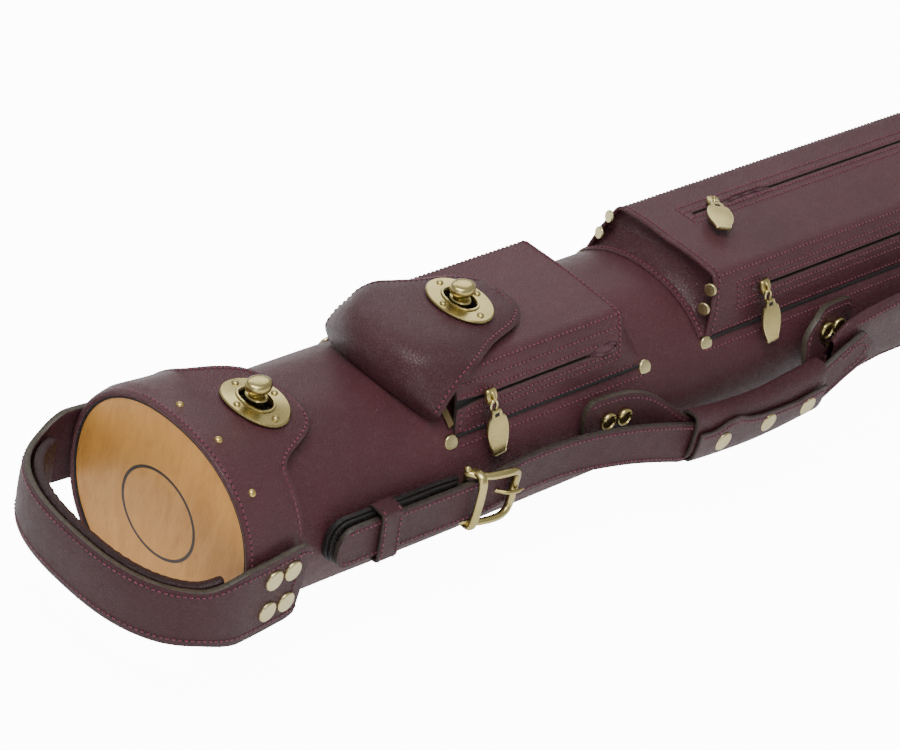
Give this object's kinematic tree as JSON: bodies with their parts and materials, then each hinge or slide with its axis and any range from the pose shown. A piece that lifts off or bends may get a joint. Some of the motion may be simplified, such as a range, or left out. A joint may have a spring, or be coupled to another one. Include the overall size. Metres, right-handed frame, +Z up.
{
  "type": "cue case",
  "caption": "Hard tubular leather cue case with hinged turn-lock lid, zipped and flap pockets, carry handle, end loop and shoulder strap with pad.",
  "frame": {"origin": "middle of the object's length and width, on the surface it lies on", "axes": "+X along the case from the hinged lid to the far end, +Y towards the side without straps, +Z up, out of the pocket face"},
  "size_m": [0.9078, 0.1429, 0.1214],
  "materials": {
    "burgundy_leather": "satin, fine grain",
    "dark_leather": "matte",
    "antique_brass": "brushed",
    "oak_disc": "satin lacquer",
    "core_board": "matte",
    "tube_liner": "matte",
    "foam": "matte",
    "zip_tape": "woven"
  },
  "bodies": {
    "case": {"body_leather": "burgundy_leather", "buckle_strap": "burgundy_leather", "butt_tube_1": "tube_liner", "butt_tube_2": "tube_liner", "core_shell": "core_board", "end_band": "burgundy_leather", "end_disc": "oak_disc", "front_spacer": "foam", "handle_anchor_front": "burgundy_leather", "handle_anchor_rear": "burgundy_leather", "handle_rivets_front": "antique_brass", "handle_rivets_rear": "antique_brass", "large_pocket": "burgundy_leather", "lid_hinge_leaf": "burgundy_leather", "lid_lock_post": "antique_brass", "pocket_lock_post": "antique_brass", "rear_pad": "foam", "shaft_tube_1": "tube_liner", "shaft_tube_2": "tube_liner", "shaft_tube_3": "tube_liner", "shaft_tube_4": "tube_liner", "shoulder_pad": "burgundy_leather", "shoulder_strap": "burgundy_leather", "shoulder_strap_tail": "burgundy_leather", "side_zip_tape": "zip_tape", "small_pocket": "burgundy_leather", "small_zip_tape": "zip_tape", "top_zip_tape": "zip_tape"},
    "lid": {"lid_band": "burgundy_leather", "lid_disc": "oak_disc", "lid_pad": "foam", "end_handle_root_near": "burgundy_leather", "end_handle_root_far": "burgundy_leather", "end_handle_rivets_near": "antique_brass", "end_handle_rivets_far": "antique_brass"},
    "tongue": {"lid_tongue": "burgundy_leather", "lid_lock_plate": "antique_brass"},
    "lid_knob": {"lid_lock_knob": "antique_brass"},
    "end_handle": {"end_handle_strap": "burgundy_leather", "end_handle_lining": "dark_leather"},
    "flap": {"pocket_flap": "burgundy_leather", "pocket_lock_plate": "antique_brass"},
    "pocket_knob": {"pocket_lock_knob": "antique_brass"},
    "small_slider": {"small_zip_slider": "antique_brass"},
    "small_pull": {"small_zip_pull": "antique_brass"},
    "side_slider": {"side_zip_slider": "antique_brass"},
    "side_pull": {"side_zip_pull": "antique_brass"},
    "top_slider": {"top_zip_slider": "antique_brass"},
    "top_pull": {"top_zip_pull": "antique_brass"},
    "keeper": {"strap_keeper": "burgundy_leather"},
    "buckle": {"buckle_frame": "antique_brass"},
    "prong": {"buckle_prong": "antique_brass"},
    "carry_handle": {"carry_handle_strap": "burgundy_leather", "grip_wrap": "burgundy_leather"},
    "cover": {"grip_cover": "burgundy_leather", "grip_snap_1": "antique_brass", "grip_snap_2": "antique_brass", "grip_snap_3": "antique_brass"}
  },
  "joints": [
    {"name": "lid_hinge", "type": "hinge", "parent": "case", "child": "lid", "pos_m": [-0.3735, 0.0061, 0.001], "axis": [0, -1, 0], "range_deg": [0, 100], "deforming": ["lid_hinge_leaf", "lid_tongue", "lid_lock_plate"]},
    {"name": "tongue_lift", "type": "hinge", "parent": "lid", "child": "tongue", "pos_m": [-0.3743, 0.0061, 0.0965], "axis": [0, -1, 0], "range_deg": [0, 50], "deforming": ["lid_tongue", "lid_lock_plate"]},
    {"name": "lid_lock_turn", "type": "hinge", "parent": "case", "child": "lid_knob", "pos_m": [-0.3605, 0.0061, 0.1001], "axis": [0, 0, 1], "range_deg": [0, 90]},
    {"name": "end_handle_swing", "type": "hinge", "parent": "lid", "child": "end_handle", "pos_m": [-0.4059, 0.0061, 0.049], "axis": [0, 1, 0], "range_deg": [-25, 25], "stiffness_Nm_per_rad": 0.25, "deforming": ["end_handle_strap"]},
    {"name": "pocket_flap_lift", "type": "hinge", "parent": "case", "child": "flap", "pos_m": [-0.2935, 0.0061, 0.0918], "axis": [0, -1, 0], "range_deg": [0, 110], "deforming": ["pocket_flap", "pocket_lock_plate"]},
    {"name": "pocket_lock_turn", "type": "hinge", "parent": "case", "child": "pocket_knob", "pos_m": [-0.2415, 0.0061, 0.115], "axis": [0, 0, 1], "range_deg": [0, 90]},
    {"name": "small_zip_slide", "type": "slide", "parent": "case", "child": "small_slider", "axis": [1, 0, 0], "range_m": [0, 0.046]},
    {"name": "small_pull_swing", "type": "hinge", "parent": "small_slider", "child": "small_pull", "pos_m": [-0.25391, -0.03931, 0.08666], "axis": [-0.995, -0.0307, -0.0946], "range_deg": [0, 110]},
    {"name": "side_zip_slide", "type": "slide", "parent": "case", "child": "side_slider", "axis": [1, 0, 0], "range_m": [0, 0.42]},
    {"name": "side_pull_swing", "type": "hinge", "parent": "side_slider", "child": "side_pull", "pos_m": [-0.06591, -0.03852, 0.08939], "axis": [-0.995, -0.0337, -0.0936], "range_deg": [0, 110]},
    {"name": "top_zip_slide", "type": "slide", "parent": "case", "child": "top_slider", "axis": [1, 0, 0], "range_m": [0, 0.42]},
    {"name": "top_pull_swing", "type": "hinge", "parent": "top_slider", "child": "top_pull", "pos_m": [-0.05811, 0.01243, 0.11156], "axis": [-0.7915, 0.6112, 0], "range_deg": [0, 110]},
    {"name": "keeper_slide", "type": "slide", "parent": "case", "child": "keeper", "axis": [1, 0, 0], "range_m": [-0.008, 0.012]},
    {"name": "buckle_swing", "type": "hinge", "parent": "case", "child": "buckle", "pos_m": [-0.2785, -0.0513, 0.0426], "axis": [0, 0, -1], "range_deg": [0, 15], "deforming": ["shoulder_strap"]},
    {"name": "prong_lift", "type": "hinge", "parent": "buckle", "child": "prong", "pos_m": [-0.2785, -0.0513, 0.0559], "axis": [0, 0, -1], "range_deg": [0, 12], "deforming": ["shoulder_strap"]},
    {"name": "carry_handle_swing", "type": "hinge", "parent": "case", "child": "carry_handle", "pos_m": [-0.1355, -0.0504, 0.063], "axis": [-1, 0, 0], "range_deg": [0, 75], "deforming": ["shoulder_strap", "carry_handle_strap"]},
    {"name": "grip_open", "type": "hinge", "parent": "carry_handle", "child": "cover", "pos_m": [-0.08875, -0.0651, 0.0607], "axis": [-1, 0, 0], "range_deg": [0, 100]}
  ]
}
